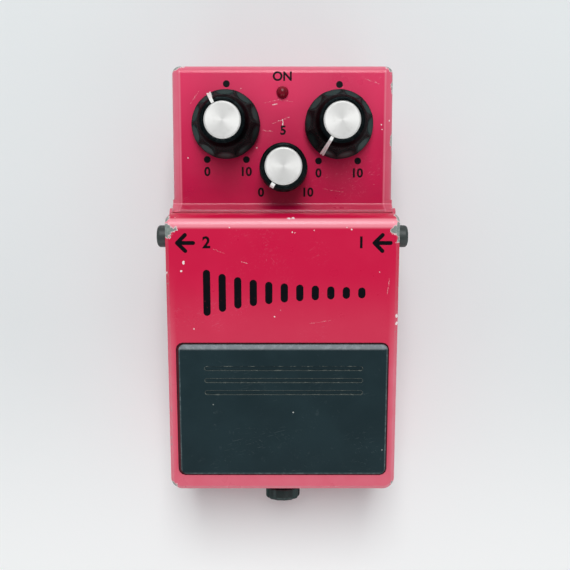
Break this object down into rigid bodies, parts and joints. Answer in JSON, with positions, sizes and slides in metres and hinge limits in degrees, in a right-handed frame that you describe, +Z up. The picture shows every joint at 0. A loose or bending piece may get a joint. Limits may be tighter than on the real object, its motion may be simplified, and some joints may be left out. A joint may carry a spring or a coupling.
{
  "type": "compact effect pedal",
  "caption": "Compact foot pedal for an instrument: hinged treadle with rubber pad, dials with aluminium caps on a sloping panel, side sockets and a front thumbscrew.",
  "frame": {"origin": "middle of the footprint, on the floor", "axes": "+X to the player's right, +Y towards the rear wall with the power socket, +Z up"},
  "size_m": [0.073, 0.133, 0.059],
  "materials": {
    "enamel": "worn gloss enamel",
    "treadle_enamel": "worn gloss enamel",
    "zinc_steel": "zinc plated",
    "bright_nickel": "bright nickel",
    "spring_steel": "drawn wire",
    "spun_aluminium": "spun",
    "can_aluminium": "printed sleeve",
    "brass": "plain",
    "pad_rubber": "matt, scuffed",
    "base_rubber": "matt",
    "stop_rubber": "matt",
    "knob_black": "satin",
    "pointer_white": "satin",
    "black_plastic": "satin",
    "grey_plastic": "satin",
    "white_plastic": "satin",
    "lamp_red": "clear red",
    "circuit_board": "phenolic sheet",
    "fish_paper": "fibre sheet",
    "battery_print": "printed sleeve",
    "foam": "open-cell"
  },
  "bodies": {
    "base": {"case_shell": "enamel", "base_plate": "zinc_steel", "rubber_base": "base_rubber", "base_screws": "zinc_steel", "insulating_sheet": "fish_paper", "main_board": "circuit_board", "board_screws": "zinc_steel", "board_chips": "black_plastic", "board_capacitors": "can_aluminium", "trim_pots": "white_plastic", "pot_board": "circuit_board", "left_pot": "zinc_steel", "right_pot": "zinc_steel", "centre_pot": "zinc_steel", "pot_nuts": "bright_nickel", "pot_washers": "bright_nickel", "input_jack": "black_plastic", "output_jack": "black_plastic", "jack_nuts": "bright_nickel", "jack_washers": "bright_nickel", "jack_contacts": "brass", "power_socket": "black_plastic", "power_pin": "bright_nickel", "check_lamp": "lamp_red", "hinge_bushes": "white_plastic", "return_spring": "spring_steel", "guide_bush": "grey_plastic", "foot_switch": "black_plastic", "switch_gasket": "stop_rubber", "switch_board": "circuit_board", "treadle_bumpers": "stop_rubber", "battery": "battery_print", "battery_snap": "black_plastic", "battery_foam": "foam"},
    "hinge": {"hinge_pins": "zinc_steel", "hinge_caps": "grey_plastic"},
    "treadle": {"treadle": "treadle_enamel", "treadle_pad": "pad_rubber", "treadle_striker": "grey_plastic"},
    "washer": {"thumb_washer": "black_plastic"},
    "thumbscrew": {"thumb_knob": "knob_black", "thumb_screw": "zinc_steel"},
    "plunger": {"switch_plunger": "grey_plastic"},
    "left_dial": {"left_shaft": "zinc_steel", "left_knob": "knob_black", "left_pointer": "pointer_white", "left_cap": "spun_aluminium"},
    "right_dial": {"right_shaft": "zinc_steel", "right_knob": "knob_black", "right_pointer": "pointer_white", "right_cap": "spun_aluminium"},
    "centre_dial": {"centre_shaft": "zinc_steel", "centre_knob": "knob_black", "centre_pointer": "pointer_white", "centre_cap": "spun_aluminium"}
  },
  "joints": [
    {"name": "treadle_open", "type": "hinge", "parent": "base", "child": "hinge", "pos_m": [0, 0.0161, 0.0436], "axis": [-1, 0, 0], "range_deg": [0, 95]},
    {"name": "treadle_press", "type": "hinge", "parent": "hinge", "child": "treadle", "pos_m": [0, 0.0161, 0.0436], "axis": [-1, 0, 0], "range_deg": [-2.2, 0], "stiffness_Nm_per_rad": 10, "springref_deg": 2.86, "deforming": ["return_spring"]},
    {"name": "thumbscrew_slide", "type": "slide", "parent": "treadle", "child": "washer", "axis": [0, 1, 0], "range_m": [0, 0.0021]},
    {"name": "thumbscrew_turn", "type": "hinge", "parent": "washer", "child": "thumbscrew", "pos_m": [0, -0.062, 0.019], "axis": [0, 1, 0], "range_deg": [0, 1080.1]},
    {"name": "plunger_slide", "type": "slide", "parent": "base", "child": "plunger", "axis": [0, 0, 1], "range_m": [-0.00233, 0]},
    {"name": "left_turn", "type": "hinge", "parent": "base", "child": "left_dial", "pos_m": [-0.0165, 0.0489, 0.04373], "axis": [0, -0.1542, 0.988], "range_deg": [-178.8, 121.2]},
    {"name": "right_turn", "type": "hinge", "parent": "base", "child": "right_dial", "pos_m": [0.0165, 0.0489, 0.04373], "axis": [0, -0.1542, 0.988], "range_deg": [-300, 0]},
    {"name": "centre_turn", "type": "hinge", "parent": "base", "child": "centre_dial", "pos_m": [0.0003, 0.0366, 0.04181], "axis": [0, -0.1542, 0.988], "range_deg": [-300, 0]}
  ],
  "couplings": [
    {"joint": "thumbscrew_turn", "follows": "thumbscrew_slide", "rad_per_m": 8976},
    {"joint": "plunger_slide", "follows": "treadle_press", "m_per_rad": 0.0601}
  ]
}
